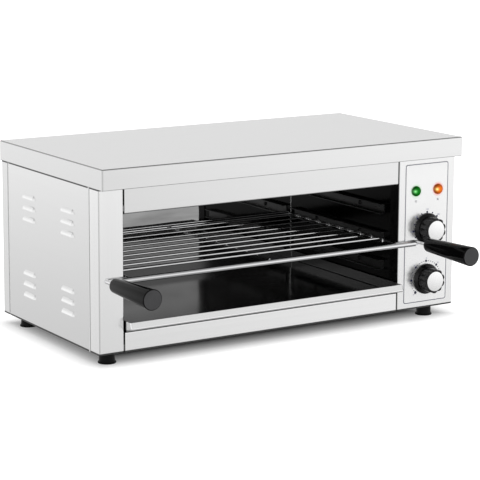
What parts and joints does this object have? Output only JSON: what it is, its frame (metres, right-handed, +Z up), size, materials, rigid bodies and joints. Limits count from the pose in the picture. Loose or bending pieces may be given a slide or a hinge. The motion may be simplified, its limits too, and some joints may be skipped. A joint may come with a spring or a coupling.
{
  "type": "countertop electric salamander grill",
  "caption": "Stainless steel countertop grill, open at the front, with a pull-out wire rack, a crumb tray, a thermostat and a timer knob.",
  "frame": {"origin": "middle of the whole grill's footprint at bench level, handles and cable gland included", "axes": "+X to the grill's right as seen from the front, -Y out of the open front, +Z up"},
  "size_m": [0.6168, 0.449, 0.274],
  "materials": {
    "brushed_steel": "brushed stainless steel, satin",
    "polished_liner": "bright stainless steel, nearly polished",
    "element_sheath": "dull oxidised steel sheath",
    "brass_fitting": "plain brass",
    "bright_fastener": "bright plated steel",
    "control_housing": "moulded off-white plastic",
    "copper_capillary": "bright copper",
    "green_lens": "translucent green, glossy",
    "amber_lens": "translucent orange-red, glossy",
    "lamp_housing": "black moulding",
    "black_plastic": "black heat-resistant moulding, satin",
    "knob_plastic": "black moulding, semi-gloss",
    "silver_cap": "spun silver disc",
    "label_face": "light silver printed plate",
    "black_rubber": "black, matt",
    "chrome_wire": "bright chrome plate"
  },
  "bodies": {
    "casing": {"hood_cover": "brushed_steel", "left_post": "brushed_steel", "control_front": "brushed_steel", "front_fascia": "brushed_steel", "bottom_rail": "brushed_steel", "left_side_panel": "brushed_steel", "right_side_panel": "brushed_steel", "rear_panel": "brushed_steel", "base_pan": "brushed_steel", "cavity_wall_left": "polished_liner", "cavity_wall_right": "polished_liner", "cavity_back": "polished_liner", "heat_reflector": "polished_liner", "heating_element_front": "element_sheath", "heating_element_rear": "element_sheath", "element_ferrules": "brass_fitting", "element_hangers": "polished_liner", "channel_screws": "bright_fastener", "casing_screws": "bright_fastener", "foot_screws": "bright_fastener", "tray_runner_left": "polished_liner", "tray_runner_right": "polished_liner", "thermostat_body": "control_housing", "timer_body": "control_housing", "thermostat_bulb": "copper_capillary", "bulb_clips": "bright_fastener", "green_lamp_lens": "green_lens", "amber_lamp_lens": "amber_lens", "green_lamp_body": "lamp_housing", "amber_lamp_body": "lamp_housing", "terminal_block": "control_housing", "gland_body": "black_plastic", "gland_nut": "black_plastic", "panel_label": "label_face", "foot_front_left": "black_rubber", "foot_front_right": "black_rubber", "foot_rear_left": "black_rubber", "foot_rear_right": "black_rubber", "channel_left_lower": "polished_liner", "channel_left_middle": "polished_liner", "channel_left_upper": "polished_liner", "channel_right_lower": "polished_liner", "channel_right_middle": "polished_liner", "channel_right_upper": "polished_liner"},
    "rack": {"rack_rod_left": "chrome_wire", "rack_rod_right": "chrome_wire", "rack_rear_rod": "chrome_wire", "rack_front_bar": "chrome_wire", "rack_wires": "chrome_wire", "rack_centre_wire": "chrome_wire", "grip_left": "black_plastic", "grip_right": "black_plastic"},
    "crumb_tray": {"crumb_tray": "polished_liner"},
    "thermostat_knob": {"thermostat_knob": "knob_plastic", "thermostat_knob_cap": "silver_cap", "thermostat_shaft": "bright_fastener"},
    "timer_knob": {"timer_knob": "knob_plastic", "timer_knob_cap": "silver_cap", "timer_shaft": "bright_fastener"}
  },
  "joints": [
    {"name": "rack_slide", "type": "slide", "parent": "casing", "child": "rack", "axis": [0, -1, 0], "range_m": [0, 0.2]},
    {"name": "tray_slide", "type": "slide", "parent": "casing", "child": "crumb_tray", "axis": [0, -1, 0], "range_m": [0, 0.2]},
    {"name": "thermostat_turn", "type": "hinge", "parent": "casing", "child": "thermostat_knob", "pos_m": [0.25438, -0.0905, 0.1374], "axis": [0, 1, 0], "range_deg": [0, 288]},
    {"name": "timer_turn", "type": "hinge", "parent": "casing", "child": "timer_knob", "pos_m": [0.25438, -0.0905, 0.06], "axis": [0, 1, 0], "range_deg": [0, 270]}
  ]
}
